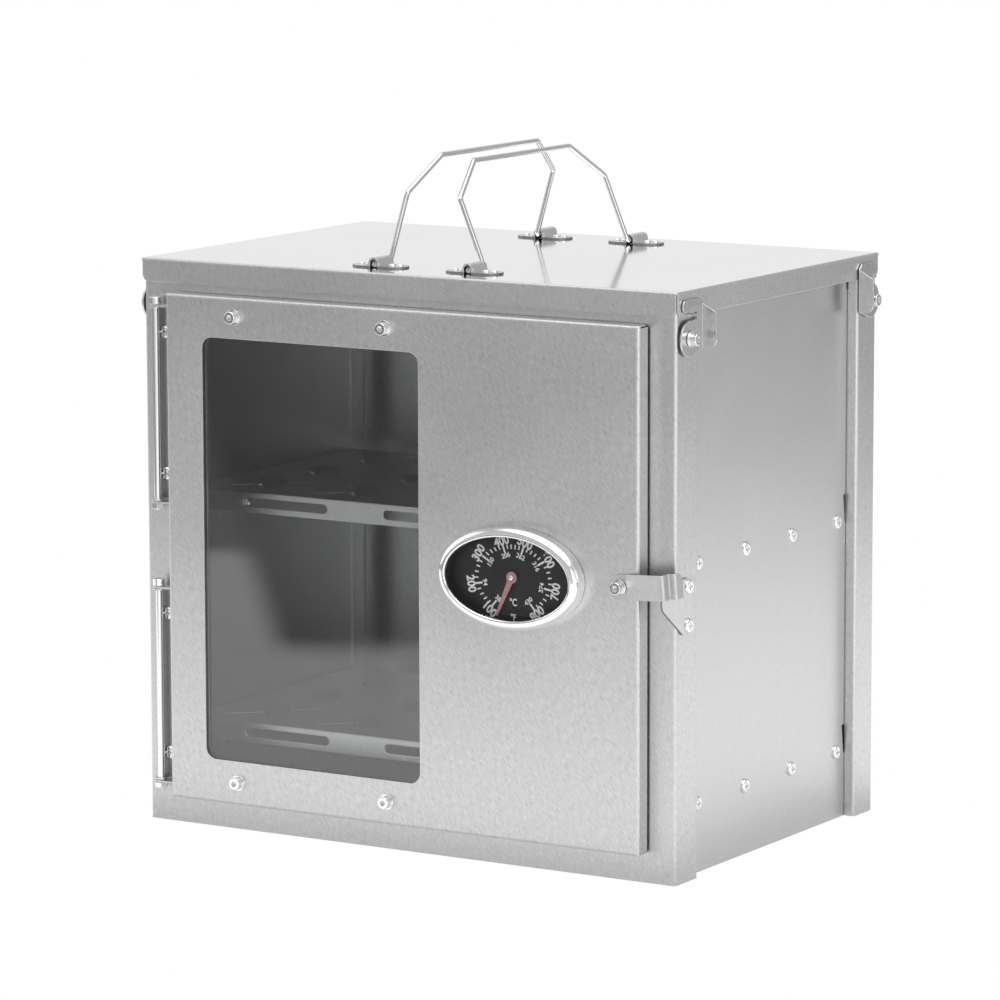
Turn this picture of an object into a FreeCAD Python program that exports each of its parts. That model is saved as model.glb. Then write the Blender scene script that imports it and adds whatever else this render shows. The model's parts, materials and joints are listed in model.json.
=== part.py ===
import FreeCAD, Part
import math
import os

# A folding stove-top camp oven: a sheet steel casing with a glazed door, a dial thermometer, two shelves,
# a lid held by four corner latches, and two wire bails. Millimetres. X runs to the right of someone facing
# the door, Y runs back, Z runs up, and the origin is the middle of the footprint.

V = FreeCAD.Vector

# Casing
width = 350.0
depth = 232.0
case_height = 326.3
sheet = 1.0
bend_radius = 0.8
front_return = 25.0
back_return = 22.2
side_inset = 6.7
lip_width = 5.5
floor_flange = 12.0
joint_slack = 0.2
hook_count = 3
hook_low_inset = 31.5
hook_top_inset = 24.8
hook_height = 12.0
hook_reach = 4.5
hook_slot_rise = 16.5
hook_gap_width = 2.2
floor_upstand = 10.0
floor_side_gap = 1.0

# Lid
lid_flange = 13.6
lid_clearance = 0.2
lid_corner_slit = 1.1
lid_corner_chamfer = 2.5
lid_lug_length = 6.4
lid_lug_reach = 3.3
lid_pivot_drop = 26.3

# Door
door_left = -153.1
door_right = 158.0
door_bottom = 16.5
door_top = 309.0
door_stand = 11.0
door_rear_gap = 1.4
door_lap = 12.0
opening_radius = 8.0
corner_slit = 1.4
window_left = -128.2
window_right = 16.8
window_bottom = 42.0
window_top = 285.5
window_radius = 6.5

# Window stack
glass_lap = 8.0
glass_thickness = 4.0
glass_radius = 4.0
gasket_thickness = 0.8
gasket_width = 7.0
frame_lap = 20.0
window_screw_pitch = 101.0
window_screw_margin = 12.4

# Hinges
hinge_x = -163.4
hinge_y_rel = -6.0
hinge_pitch = 163.2
bracket_length = 112.0
bracket_screw_inset = 15.1
bracket_screw_x = -160.9
bracket_corner = 2.4
bracket_door_gap = 1.0
ear_radius = 3.6
hinge_gap = 0.3
running_clearance = 0.05

# Fasteners
screw_radius = 2.0
hole_clearance = 0.15
cap_head_radius = 3.5
cap_head_height = 4.0
socket_flats = 3.0
socket_depth = 2.2
pan_head_radius = 4.0
pan_head_height = 1.6
cross_width = 1.1
cross_length = 4.4
cross_depth = 1.4
nut_flats = 7.0
nut_height = 3.2
washer_radius = 4.5
washer_thickness = 0.8
thread_end = 0.6

# Door latch and its keeper
latch_x = 146.5
latch_z = 165.4
strip_width = 14.0
strip_sheet = 1.0
strip_flat = 4.6
strip_nose = 2.3
strip_jog_y_rel = -12.2
strip_jog = 4.4
strip_tail = 7.2
strip_tilt = 5.5
strip_side_gap = 0.7
strip_tail_round = 4.5
rest_gap = 0.3
keeper_sheet = 1.2
keeper_front_rel = -17.0
keeper_rear_rel = 16.5
keeper_top = 170.0
keeper_bottom = 138.6
keeper_slant_start = 156.0
keeper_slant_end_rel = 6.5
keeper_round = 6.0
keeper_screw_y_rel = 11.6
keeper_screw_z = 165.1
keeper_screw_pitch = 21.6

# Corner latches
pivot_inset = 10.8
disc_radius = 10.0
latch_gap = 0.4
latch_sheet = 1.0
lug_clearance = 0.6
tongue_height = 7.2
tongue_front = 7.8
fold_back = 14.0
notch_end = 7.8
notch_floor = 10.6
tab_reach = 8.8
tab_bottom = -6.2
tab_drop = 3.2
tab_slope = 4.8
tab_point_round = 1.5
tab_round = 5.5

# Bail handles and their clips
handle_spread = 62.0
clip_pitch = 179.4
clip_length = 35.0
clip_width = 16.0
clip_sheet = 1.0
clip_bore = 2.3
clip_arch_height = 2.6
clip_foot_round = 1.3
clip_lip_round = 0.7
wire_axis_height = 2.0
rivet_radius = 2.1
rivet_height = 1.1
rivet_tail = 1.2
rivet_inner = 7.6
rivet_outer = 12.9
wire_radius = 1.5
wire_bend_radius = 3.0
leg_gap = 0.4
knee_height = 41.0
shoulder_height = 61.3
shoulder_inset = 27.4
left_lean = 16.3
right_lean = 22.4

# Rack rails, their screws and the racks
rail_heights = {"upper": 174.0, "lower": 39.2}
rail_screw_count = 4
rail_screw_inset = 4.7
rail_leg_below = 7.0
rail_leg_above = 6.0
rail_ledge = 12.0
rail_end_gap = 0.4
rack_side_gap = 1.0
rack_front_gap = 1.0
rack_back_gap = 7.8
rack_height = 12.2
rack_lift = 0.3
rack_slot_length = 58.0
rack_slot_height = 5.4
rack_slot_pitch = 96.0
rack_slot_count = 3
rack_slit_columns = 5
rack_slit_rows = 3
rack_slit_pitch_x = 63.5
rack_slit_pitch_y = 54.5
rack_slit_length = 57.0
rack_slit_width = 1.2
rack_slit_angle = 44.0
rack_tongue_width = 16.0
rack_tongue_length = 17.0
rack_tongue_rise = 4.3
rack_tongue_side_gap = 0.6

# Thermometer
gauge_x = 79.4
gauge_z = 165.4
gauge_half_width = 44.9
gauge_half_height = 28.4
gauge_stand = 10.4
bezel_wall = 0.9
bezel_lip = 5.2
bezel_lip_depth = 2.4
bezel_outer_round = 3.9
bezel_inner_round = 0.9
case_slack = 0.2
case_wall = 1.0
lens_thickness = 1.5
lens_inset = 1.6
dial_thickness = 0.5
dial_depth = 8.2
dial_slack = 0.3
pointer_length = 24.0
pointer_tail = 5.5
pointer_hub = 3.3
pointer_sheet = 0.5
pointer_gap = 0.6
pointer_root = 1.9
pointer_tip = 0.7
pointer_angle = 24.2
pointer_cap_radius = 1.5
pointer_cap_height = 0.8
spindle_radius = 1.0
spindle_length = 5.0
stem_radius = 4.0
stem_thread_end = 11.0
probe_radius = 3.0
probe_length = 22.0
gauge_washer_radius = 8.0
gauge_nut_flats = 12.0
gauge_nut_height = 4.0

# Places worked out from the sizes
half_width = width / 2
front_y = -depth / 2
back_y = depth / 2
side_face = half_width - side_inset
side_inner = side_face - sheet
front_fold_y = front_y + front_return
back_fold_y = back_y - back_return
panel_edge_gap = bend_radius + joint_slack
lid_top = case_height + sheet
lid_bottom = lid_top - lid_flange
lid_face = half_width + lid_clearance + sheet
lid_face_y = depth / 2 + lid_clearance + sheet
door_y = front_y - door_stand
door_inner_y = door_y + sheet
door_rear_y = front_y - door_rear_gap
door_middle = (door_bottom + door_top) / 2
window_middle_x = (window_left + window_right) / 2
glass_back_y = door_inner_y + glass_thickness
gasket_back_y = glass_back_y + gasket_thickness
frame_back_y = gasket_back_y + sheet
hinge_y = front_y + hinge_y_rel
hinge_centres = {"upper": door_middle + hinge_pitch / 2, "lower": door_middle - hinge_pitch / 2}
bracket_face_y = front_y - sheet
keeper_face = half_width + keeper_sheet
latch_inner = lid_face + latch_gap
latch_face = latch_inner + latch_sheet
pivot_z = lid_top - lid_pivot_drop
tongue_bottom = lid_bottom + sheet + lug_clearance - pivot_z
bail_axis_z = lid_top + wire_axis_height
clip_inner_y = clip_pitch / 2 - clip_width / 2
leg_y = clip_inner_y - leg_gap - wire_radius
rail_front_y = front_fold_y + lip_width + rail_end_gap
rail_back_y = back_fold_y - lip_width - rail_end_gap
rack_half_width = side_inner - sheet - rack_side_gap
rack_front_y = front_fold_y + rack_front_gap
rack_back_y = back_fold_y - rack_back_gap
rack_middle_y = (rack_front_y + rack_back_y) / 2
gauge_front_y = door_y - gauge_stand
dial_y = gauge_front_y + dial_depth
pointer_y = dial_y - pointer_gap
stem_start_y = dial_y + dial_thickness + dial_slack


def box(x0, x1, y0, y1, z0, z1):
    return Part.makeBox(x1 - x0, y1 - y0, z1 - z0, V(x0, y0, z0))


def rod(start, direction, radius, length):
    return Part.makeCylinder(radius, length, start, direction)


def prism(points, run):
    """A flat polygon through the points, pushed along run."""
    return Part.Face(Part.makePolygon(points + [points[0]])).extrude(run)


def mirror_x(shape):
    return shape.mirror(V(0, 0, 0), V(1, 0, 0))


def mirror_y(shape):
    return shape.mirror(V(0, 0, 0), V(0, 1, 0))


def round_box(x0, x1, y0, y1, z0, z1, radius, axis):
    """A box whose four edges along the axis (0, 1 or 2) are rounded."""
    solid = box(x0, x1, y0, y1, z0, z1)
    along = [V(1, 0, 0), V(0, 1, 0), V(0, 0, 1)][axis]
    edges = [e for e in solid.Edges if abs(abs(e.tangentAt(e.FirstParameter).dot(along)) - 1) < 1e-6]
    return solid.makeFillet(radius, edges)


def corner_edges(points, radii):
    """Straight edges through flat points, with a tangent arc of its own radius at each inner point."""
    edges = []
    start = points[0]
    for before, here, after, radius in zip(points, points[1:], points[2:], radii):
        arrive = (here - before).normalize()
        leave = (after - here).normalize()
        turn = arrive.getAngle(leave)
        reach = radius * math.tan(turn / 2)
        first = here - arrive * reach
        last = here + leave * reach
        toward = (leave - arrive).normalize()
        middle = here + toward * (radius / math.cos(turn / 2) - radius)
        edges.append(Part.LineSegment(start, first).toShape())
        edges.append(Part.Arc(first, middle, last).toShape())
        start = last
    edges.append(Part.LineSegment(start, points[-1]).toShape())
    return edges


def left_of(points, distance):
    """The same flat path moved to its left side, in the XY plane."""
    headings = [(b - a).normalize() for a, b in zip(points, points[1:])]
    normals = [V(-h.y, h.x, 0) for h in headings]
    moved = [points[0] + normals[0] * distance]
    for point, n0, n1 in zip(points[1:], normals, normals[1:]):
        moved.append(point + (n0 + n1) * (distance / (1 + n0.dot(n1))))
    moved.append(points[-1] + normals[-1] * distance)
    return moved


def folded_sheet(points, thickness, inner_radius, height):
    """Sheet bent along a path in the XY plane, with its metal on the path's left, pushed up in Z."""
    path = [V(x, y, 0) for x, y in points]
    turns = []
    for a, b, c in zip(path, path[1:], path[2:]):
        turns.append((b - a).cross(c - b).z > 0)
    right_radii = [inner_radius + (thickness if left else 0) for left in turns]
    left_radii = [inner_radius + (0 if left else thickness) for left in turns]
    inner = left_of(path, thickness)
    edges = corner_edges(path, right_radii)
    edges.append(Part.LineSegment(path[-1], inner[-1]).toShape())
    edges += corner_edges(inner[::-1], left_radii[::-1])
    edges.append(Part.LineSegment(inner[0], path[0]).toShape())
    return Part.Face(Part.Wire(Part.__sortEdges__(edges))).extrude(V(0, 0, height))


def stand_profile(solid, origin):
    """Turn a shape drawn in XY and pushed in Z so that its X stays, its Y points up and its Z runs back."""
    solid.rotate(V(0, 0, 0), V(1, 0, 0), 90)
    solid = mirror_y(solid)
    solid.translate(origin)
    return solid


def hexagon(centre, direction, flats, length):
    """A hexagonal prism along an axis direction."""
    radius = flats / math.sqrt(3)
    side = V(0, 0, 1).cross(direction)
    if side.Length < 0.5:
        side = V(1, 0, 0)
    side.normalize()
    up = direction.cross(side)
    corners = []
    for step in range(6):
        angle = math.radians(60 * step)
        corners.append(centre + side * (radius * math.cos(angle)) + up * (radius * math.sin(angle)))
    return prism(corners, direction * length)


def ring(centre, direction, outer, inner, length):
    return rod(centre, direction, outer, length).cut(rod(centre, direction, inner, length))


def nut(seat, direction, flats=nut_flats, height=nut_height, bore=screw_radius):
    """A chamfered hexagon nut, standing on its seat."""
    body = hexagon(seat, direction, flats, height)
    crown = Part.makeCone(flats * 0.5 + height, flats * 0.5, height, seat, direction)
    crown = crown.fuse(rod(seat, direction, flats * 0.5 + 0.25, height))
    return body.common(crown).cut(rod(seat, direction, bore, height))


def washer(seat, direction, radius=washer_radius, thickness=washer_thickness):
    return ring(seat, direction, radius, screw_radius + hole_clearance, thickness)


def cap_screw(seat, direction, shank, tail=screw_radius):
    """A socket cap screw: its head stands on the seat along direction, its shank runs the other way."""
    head = rod(seat, direction, cap_head_radius, cap_head_height)
    top = [e for e in head.Edges if abs((e.CenterOfMass - seat).dot(direction) - cap_head_height) < 1e-6]
    head = head.makeFillet(0.4, top)
    socket = hexagon(seat + direction * (cap_head_height - socket_depth), direction, socket_flats, socket_depth)
    body = rod(seat, direction * -1, tail, shank)
    return head.cut(socket).fuse(body)


def pan_screw(seat, direction, shank):
    """A pan head screw with a cross recess."""
    head = rod(seat, direction, pan_head_radius, pan_head_height)
    top = [e for e in head.Edges if abs((e.CenterOfMass - seat).dot(direction) - pan_head_height) < 1e-6]
    head = head.makeFillet(pan_head_height * 0.7, top)
    side = V(0, 0, 1)
    across = direction.cross(side)
    for one, other in ((side, across), (across, side)):
        centre = seat + direction * (pan_head_height - cross_depth)
        corners = []
        for u, v in ((-1, -1), (1, -1), (1, 1), (-1, 1)):
            corners.append(centre + one * (u * cross_length / 2) + other * (v * cross_width / 2))
        head = head.cut(prism(corners, direction * (cross_depth + 1)))
    body = rod(seat, direction * -1, screw_radius, shank)
    return head.fuse(body)


def drill(shape, centre, direction, radius, length):
    start = centre - direction * (length / 2)
    return shape.cut(rod(start, direction, radius, length))


def tray(x0, x1, y0, y1, z0, z1, open_side, edge_radius):
    """A thin sheet tray: the box without its inside, open towards open_side, with the closed face's edges
    rounded. open_side is +Y or -Z as a vector."""
    outer = box(x0, x1, y0, y1, z0, z1)
    if open_side.y > 0:
        inner = box(x0 + sheet, x1 - sheet, y0 + sheet, y1 + 1, z0 + sheet, z1 - sheet)
        folds = [e for e in outer.Edges if abs(e.BoundBox.YMax - y0) < 1e-6]
        inner_folds = [e for e in inner.Edges if abs(e.BoundBox.YMax - y0 - sheet) < 1e-6]
    else:
        inner = box(x0 + sheet, x1 - sheet, y0 + sheet, y1 - sheet, z0 - 1, z1 - sheet)
        folds = [e for e in outer.Edges if abs(e.BoundBox.ZMin - z1) < 1e-6]
        inner_folds = [e for e in inner.Edges if abs(e.BoundBox.ZMin - z1 + sheet) < 1e-6]
    inner = inner.makeFillet(edge_radius - sheet, inner_folds)
    return outer.makeFillet(edge_radius, folds).cut(inner)


def compound(solids):
    return Part.makeCompound(solids)


def hook_places():
    """The heights of the hooks' middles, spread evenly from the lowest to the highest."""
    rise = case_height - hook_top_inset - hook_low_inset
    return [hook_low_inset + rise * step / (hook_count - 1) for step in range(hook_count)]


def hook_slots(fold_y, toward):
    """Slots through a fold for the side panel's hooks. toward is the side of the fold that the panel is on."""
    cuts = []
    for z in hook_places():
        low = z - hook_height / 2 - joint_slack
        high = z + hook_height / 2 + hook_slot_rise
        ends = sorted((fold_y + toward * panel_edge_gap, fold_y - toward * (sheet + 0.5)))
        x0 = side_inner - joint_slack
        x1 = side_face + joint_slack
        cuts.append(box(x0, x1, ends[0], ends[1], low, high))
    return compound(cuts)


def case_side(fold_y, face_y):
    """Half of the plan path of a front or back panel, from the lip round to the middle of the face."""
    toward = 1 if fold_y > face_y else -1
    return [(-side_inner, fold_y + toward * lip_width), (-side_inner, fold_y), (-half_width, fold_y),
            (-half_width, face_y)]


def front_panel():
    left = case_side(front_fold_y, front_y)
    path = left + [(-x, y) for x, y in left[::-1]]
    panel = folded_sheet(path, sheet, bend_radius, case_height)
    edge = half_width - sheet - joint_slack
    panel = panel.fuse(box(-edge, edge, front_y + sheet / 2, front_y + floor_flange, 0, sheet))
    opening = round_box(door_left + door_lap, door_right - door_lap, front_y - 1, front_y + sheet + 1,
                        door_bottom + door_lap, door_top - door_lap, opening_radius, 1)
    panel = panel.cut(opening)
    slots = hook_slots(front_fold_y, 1)
    panel = panel.cut(slots).cut(mirror_x(slots))
    hole = screw_radius + hole_clearance
    for x, z in bracket_screw_places():
        panel = drill(panel, V(x, front_y, z), V(0, 1, 0), hole, 4 * sheet)
    for z in (keeper_screw_z, keeper_screw_z - keeper_screw_pitch):
        panel = drill(panel, V(half_width, front_y + keeper_screw_y_rel, z), V(1, 0, 0), hole, 4 * sheet)
    for side in (-1, 1):
        panel = drill(panel, V(side * half_width, front_y + pivot_inset, pivot_z), V(1, 0, 0), hole, 4 * sheet)
    return panel


def back_panel():
    left = case_side(back_fold_y, back_y)
    path = [(-x, y) for x, y in left] + left[::-1]
    panel = folded_sheet(path, sheet, bend_radius, case_height)
    edge = half_width - sheet - joint_slack
    panel = panel.fuse(box(-edge, edge, back_y - floor_flange, back_y - sheet / 2, 0, sheet))
    slots = hook_slots(back_fold_y, -1)
    panel = panel.cut(slots).cut(mirror_x(slots))
    for side in (-1, 1):
        centre = V(side * half_width, back_y - pivot_inset, pivot_z)
        panel = drill(panel, centre, V(1, 0, 0), screw_radius + hole_clearance, 4 * sheet)
    return panel


def side_panel_right():
    front_edge = front_fold_y + panel_edge_gap
    back_edge = back_fold_y - panel_edge_gap
    panel = box(side_inner, side_face, front_edge, back_edge, 0, case_height)
    for z in hook_places():
        low = z - hook_height / 2
        high = z + hook_height / 2
        hooks = box(side_inner, side_face, front_edge - hook_reach, front_edge + 1, low, high)
        hooks = hooks.fuse(box(side_inner, side_face, back_edge - 1, back_edge + hook_reach, low, high))
        panel = panel.fuse(hooks)
        for edge, inward in ((front_edge, 1), (back_edge, -1)):
            wedge = [V(side_inner - 1, edge - inward, high), V(side_inner - 1, edge, high),
                     V(side_inner - 1, edge + inward * hook_gap_width, high + hook_slot_rise),
                     V(side_inner - 1, edge - inward, high + hook_slot_rise)]
            panel = panel.cut(prism(wedge, V(sheet + 2, 0, 0)))
    for y, z in rail_screw_places():
        panel = drill(panel, V(side_face, y, z), V(1, 0, 0), screw_radius + hole_clearance, 4 * sheet)
    return panel


def bottom_plate():
    """A loose floor. Its front and back edges lie on the panels' bottom flanges, its middle is pressed down
    level with them, and its sides turn up."""
    half = side_inner - floor_side_gap
    flange_gap = floor_flange + joint_slack
    step_gap = flange_gap + sheet
    y0 = front_y + sheet + joint_slack
    y1 = back_y - sheet - joint_slack
    inner = half - sheet
    middle = box(-inner, inner, front_y + flange_gap, back_y - flange_gap, 0, sheet)
    ends = [box(-inner, inner, y0, front_y + step_gap, sheet, 2 * sheet),
            box(-inner, inner, back_y - step_gap, y1, sheet, 2 * sheet)]
    steps = [box(-inner, inner, front_y + flange_gap, front_y + step_gap, 0, 2 * sheet),
             box(-inner, inner, back_y - step_gap, back_y - flange_gap, 0, 2 * sheet)]
    y0 = front_fold_y + lip_width + joint_slack
    y1 = back_fold_y - lip_width - joint_slack
    profile = [(-half, floor_upstand), (-half, 0), (half, 0), (half, floor_upstand)]
    upstands = stand_profile(folded_sheet(profile, sheet, bend_radius, y1 - y0), V(0, y0, 0))
    return middle.fuse(ends + steps + [upstands]).removeSplitter()


def lid_cover():
    """The lid: a shallow tray turned down over the panels, split at its corners, with four latch lugs."""
    lid = tray(-lid_face, lid_face, -lid_face_y, lid_face_y, lid_bottom, lid_top, V(0, 0, -1), sheet + 0.4)
    for sx in (-1, 1):
        for sy in (-1, 1):
            x = sorted((sx * lid_face, sx * (lid_face - lid_corner_slit)))
            y = sorted((sy * lid_face_y, sy * (lid_face_y - lid_corner_slit)))
            lid = lid.cut(box(x[0], x[1], y[0], y[1], lid_bottom, lid_top - sheet - 0.5))
            pivot_y = depth / 2 - pivot_inset
            lug_y = sorted((sy * (pivot_y - lid_lug_length / 2), sy * (pivot_y + lid_lug_length / 2)))
            lug_x = sorted((sx * (lid_face - sheet / 2), sx * (lid_face + lid_lug_reach)))
            lid = lid.fuse(box(lug_x[0], lug_x[1], lug_y[0], lug_y[1], lid_bottom, lid_bottom + sheet))
            lid = lid.cut(lid_corner_cuts(V(sx * lid_face, sy * lid_face_y, lid_bottom), sx, sy))
    for x, y in clip_places():
        for dx in rivet_offsets():
            lid = drill(lid, V(x + dx, y, lid_top), V(0, 0, 1), rivet_radius * 0.5 + hole_clearance, 4 * sheet)
    return lid


def lid_corner_cuts(corner, sx, sy):
    """The small slanting cuts that take the sharp lower corners off both flanges at one corner of the lid."""
    up = V(0, 0, lid_corner_chamfer)
    along_x = V(-sx * lid_corner_chamfer - sx * lid_corner_slit, 0, 0)
    along_y = V(0, -sy * lid_corner_chamfer - sy * lid_corner_slit, 0)
    front = prism([corner, corner + along_x, corner + up], V(0, -2 * sy * sheet, 0))
    side = prism([corner, corner + along_y, corner + up], V(-2 * sx * sheet, 0, 0))
    return compound([front, side])


def rail_screw_places():
    """Y and Z of every rail screw on one side."""
    places = []
    first = rail_front_y + rail_screw_inset
    run = rail_back_y - rail_screw_inset - first
    for z in rail_heights.values():
        for step in range(rail_screw_count):
            places.append((first + run * step / (rail_screw_count - 1), z))
    return places


def rack_rail_right(z):
    """An angle rail inside the side panel: screws go through its upright leg and a rack lies on its ledge."""
    x = side_inner
    points = [(x, z - rail_leg_below), (x, z + rail_leg_above), (x - rail_ledge, z + rail_leg_above)]
    run = rail_back_y - rail_front_y
    rail = stand_profile(folded_sheet(points, sheet, bend_radius, run), V(0, rail_front_y, 0))
    for y, screw_z in rail_screw_places():
        if screw_z == z:
            rail = drill(rail, V(x, y, z), V(1, 0, 0), screw_radius + hole_clearance, 4 * sheet)
    return rail


def rail_screws_right():
    shank = 2 * sheet + nut_height + thread_end
    return compound([pan_screw(V(side_face, y, z), V(1, 0, 0), shank) for y, z in rail_screw_places()])


def rail_nuts_right():
    seat_x = side_inner - sheet
    return compound([nut(V(seat_x, y, z), V(-1, 0, 0)) for y, z in rail_screw_places()])


def rack(z):
    """A shelf with turned-down edges, slotted at the front and back, its deck cut in slanting slits with a
    raised tongue at the middle of each."""
    top = z + rail_leg_above + rack_lift + rack_height
    low = top - rack_height
    shelf = tray(-rack_half_width, rack_half_width, rack_front_y, rack_back_y, low, top, V(0, 0, -1),
                 sheet + 0.2)
    for sx in (-1, 1):
        x = sorted((sx * rack_half_width, sx * (rack_half_width - corner_slit)))
        for y, inward in ((rack_front_y, 1), (rack_back_y, -1)):
            ends = sorted((y, y + inward * corner_slit))
            shelf = shelf.cut(box(x[0], x[1], ends[0], ends[1], low, top - sheet - 0.5))
    slot_z = top - rack_height / 2
    half_length = rack_slot_length / 2
    half_height = rack_slot_height / 2
    cuts = []
    for step in range(rack_slot_count):
        x = (step - (rack_slot_count - 1) / 2) * rack_slot_pitch
        cuts.append(round_box(x - half_length, x + half_length, rack_front_y - 1, rack_back_y + 1,
                              slot_z - half_height, slot_z + half_height, half_height - 0.01, 1))
    tongues = []
    for row in range(rack_slit_rows):
        for column in range(rack_slit_columns):
            x = (column - (rack_slit_columns - 1) / 2) * rack_slit_pitch_x
            y = rack_middle_y + (row - (rack_slit_rows - 1) / 2) * rack_slit_pitch_y
            cuts.append(slit_cutter(x, y, top))
            tongues.append(slit_tongue(x, y, top))
    return shelf.cut(compound(cuts)).fuse(tongues)


def turned_to_slit(shape, x, y, top):
    """Move a shape made with the slit along X, at the deck's top face, to a slit of the pattern."""
    shape.rotate(V(0, 0, 0), V(0, 0, 1), rack_slit_angle)
    shape.translate(V(x, y, top))
    return shape


def slit_cutter(x, y, top):
    """A thin slit, with a window beside its middle where the tongue was."""
    slit = box(-rack_slit_length / 2, rack_slit_length / 2, -rack_slit_width / 2, rack_slit_width / 2,
               -sheet - 1, 1)
    half = rack_tongue_width / 2 + rack_tongue_side_gap
    window = box(-half, half, -rack_tongue_length, 0, -sheet - 1, 1)
    return turned_to_slit(slit.fuse(window), x, y, top)


def slit_tongue(x, y, top):
    """The tongue that the punch raises at a slit: its free edge stands up, and it runs down to the deck in two
    smooth bends."""
    free = -rack_slit_width / 2
    root = -rack_tongue_length - sheet / 2
    middle = (free + root) / 2
    half_rise = rack_tongue_rise / 2
    curves = []
    for drop in (0, -sheet):
        crest = V(0, (free + middle) / 2, rack_tongue_rise * 0.86 + drop)
        foot = V(0, (root + middle) / 2, rack_tongue_rise * 0.14 + drop)
        join = V(0, middle, half_rise + drop)
        curves.append([Part.Arc(V(0, free, rack_tongue_rise + drop), crest, join).toShape(),
                       Part.Arc(join, foot, V(0, root, drop)).toShape()])
    ends = [Part.LineSegment(V(0, y0, z0), V(0, y0, z0 - sheet)).toShape()
            for y0, z0 in ((free, rack_tongue_rise), (root, 0))]
    outline = Part.Wire(Part.__sortEdges__(curves[0] + curves[1] + ends))
    tongue = Part.Face(outline).extrude(V(rack_tongue_width, 0, 0))
    tongue.translate(V(-rack_tongue_width / 2, 0, 0))
    return turned_to_slit(tongue, x, y, top)


def door_panel():
    """The door: a tray open to the rear with split corners, four hinge tabs, and the window cut in it."""
    door = tray(door_left, door_right, door_y, door_rear_y, door_bottom, door_top, V(0, 1, 0),
                sheet + bend_radius)
    for x, inward in ((door_left, 1), (door_right, -1)):
        for z, up in ((door_bottom, 1), (door_top, -1)):
            xs = sorted((x, x + inward * corner_slit))
            zs = sorted((z, z + up * corner_slit))
            door = door.cut(box(xs[0], xs[1], door_y + 2 * sheet, door_rear_y, zs[0], zs[1]))
    for centre in hinge_centres.values():
        for side in (-1, 1):
            door = door.fuse(hinge_tab(centre, side))
    window = round_box(window_left, window_right, door_y - 1, door_inner_y + 1, window_bottom, window_top,
                       window_radius, 1)
    door = door.cut(window)
    hole = screw_radius + hole_clearance
    for x, z in window_screw_places() + [(latch_x, latch_z)]:
        door = drill(door, V(x, door_y, z), V(0, 1, 0), hole, 4 * sheet)
    return drill(door, V(gauge_x, door_y, gauge_z), V(0, 1, 0), stem_radius + hole_clearance, 4 * sheet)


def hinge_tab(centre, side):
    """A tab folded out of the door's left flange, just outside the end of a hinge bracket."""
    face = centre + side * (bracket_length / 2 + hinge_gap)
    low = min(face, face + side * sheet)
    arm = box(hinge_x, door_left + sheet / 2, hinge_y - ear_radius, hinge_y + ear_radius, low, low + sheet)
    tab = arm.fuse(rod(V(hinge_x, hinge_y, low), V(0, 0, 1), ear_radius, sheet))
    return tab.cut(rod(V(hinge_x, hinge_y, low), V(0, 0, 1), screw_radius + running_clearance, sheet))


def bracket_screw_places():
    places = []
    for centre in hinge_centres.values():
        for side in (-1, 1):
            places.append((bracket_screw_x, centre + side * (bracket_length / 2 - bracket_screw_inset)))
    return places


def hinge_bracket(centre):
    """A bracket screwed to the front panel: a long base with round corners, a long flange folded forward along
    its left edge, and an ear at each end with a hole for the pin."""
    x0 = hinge_x - ear_radius
    x1 = door_left - bracket_door_gap
    low = centre - bracket_length / 2
    high = centre + bracket_length / 2
    body = round_box(x0, x1, bracket_face_y, front_y, low, high, bracket_corner, 1)
    body = body.fuse(box(x0, hinge_x, bracket_face_y, front_y, low, high))
    body = body.fuse(box(x0, x0 + sheet, hinge_y, front_y, low, high))
    for z in (low, high - sheet):
        ear = box(x0, hinge_x + ear_radius, hinge_y, front_y, z, z + sheet)
        ear = ear.fuse(rod(V(hinge_x, hinge_y, z), V(0, 0, 1), ear_radius, sheet))
        body = body.fuse(ear)
    body = body.cut(rod(V(hinge_x, hinge_y, low - 1), V(0, 0, 1), screw_radius + running_clearance,
                        bracket_length + 2))
    for x, z in bracket_screw_places():
        body = drill(body, V(x, front_y, z), V(0, 1, 0), screw_radius + hole_clearance, 4 * sheet)
    return body.removeSplitter()


def hinge_pin(centre):
    """A long cap screw dropped through both tabs and both ears as the hinge's pin."""
    seat_z = centre + bracket_length / 2 + hinge_gap + sheet + rest_gap
    shank = bracket_length + 2 * (hinge_gap + sheet + rest_gap) + nut_height + thread_end
    return cap_screw(V(hinge_x, hinge_y, seat_z), V(0, 0, 1), shank)


def hinge_pin_nuts():
    nuts = []
    for centre in hinge_centres.values():
        seat_z = centre - bracket_length / 2 - hinge_gap - sheet - rest_gap
        nuts.append(nut(V(hinge_x, hinge_y, seat_z), V(0, 0, -1)))
    return compound(nuts)


def hinge_bracket_screws():
    shank = 2 * sheet + nut_height + thread_end
    return compound([pan_screw(V(x, bracket_face_y, z), V(0, -1, 0), shank) for x, z in bracket_screw_places()])


def hinge_bracket_nuts():
    return compound([nut(V(x, front_y + sheet, z), V(0, 1, 0)) for x, z in bracket_screw_places()])


def window_screw_places():
    places = []
    for x in (window_middle_x - window_screw_pitch / 2, window_middle_x + window_screw_pitch / 2):
        places.append((x, window_top + window_screw_margin))
        places.append((x, window_bottom - window_screw_margin))
    return places


def window_glass():
    return round_box(window_left - glass_lap, window_right + glass_lap, door_inner_y, glass_back_y,
                     window_bottom - glass_lap, window_top + glass_lap, glass_radius, 1)


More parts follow.
